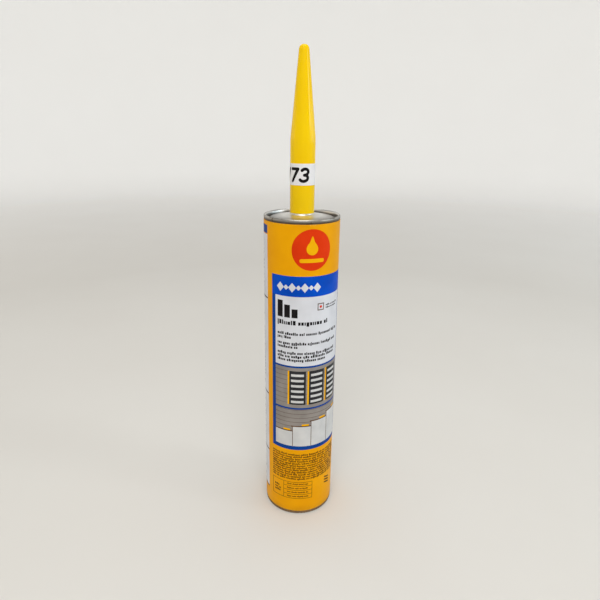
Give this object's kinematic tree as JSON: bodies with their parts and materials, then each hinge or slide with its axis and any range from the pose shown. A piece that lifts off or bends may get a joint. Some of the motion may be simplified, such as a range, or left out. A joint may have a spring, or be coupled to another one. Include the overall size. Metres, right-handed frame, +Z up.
{
  "type": "caulk tube",
  "caption": "Caulking gun cartridge: labelled fibre barrel with a crimped tinplate end, a long closed tapering nozzle and a push-in piston behind the paste.",
  "frame": {"origin": "middle of the ring of board that the tube stands on", "axes": "+Z up along the tube's axis to the nozzle's tip, -Y is the printed front panel, +X to its right, and the label's lap is at +Y"},
  "size_m": [0.0492, 0.0493, 0.3137],
  "materials": {
    "fibre_tube": "spirally wound brown board, dull, with a foil liner inside",
    "printed_paper": "coated orange paper with a satin varnish",
    "tinplate": "bright stamped tinplate with soft reflections",
    "yellow_moulding": "smooth, slightly translucent yellow polyethylene",
    "foil": "plain bright foil",
    "tape_paper": "matt white paper tape, slightly creased",
    "paste": "smooth damp grey paste",
    "white_moulding": "natural white polyethylene, dull"
  },
  "bodies": {
    "cartridge": {"barrel": "fibre_tube", "label": "printed_paper", "top_end": "tinplate", "nozzle": "yellow_moulding", "seal_foil": "foil", "tape_tag": "tape_paper", "sealant": "paste"},
    "plunger": {"piston": "white_moulding"}
  },
  "joints": [
    {"name": "piston_slide", "type": "slide", "parent": "cartridge", "child": "plunger", "axis": [0, 0, 1], "range_m": [0, 0.1745], "deforming": ["sealant"]}
  ]
}
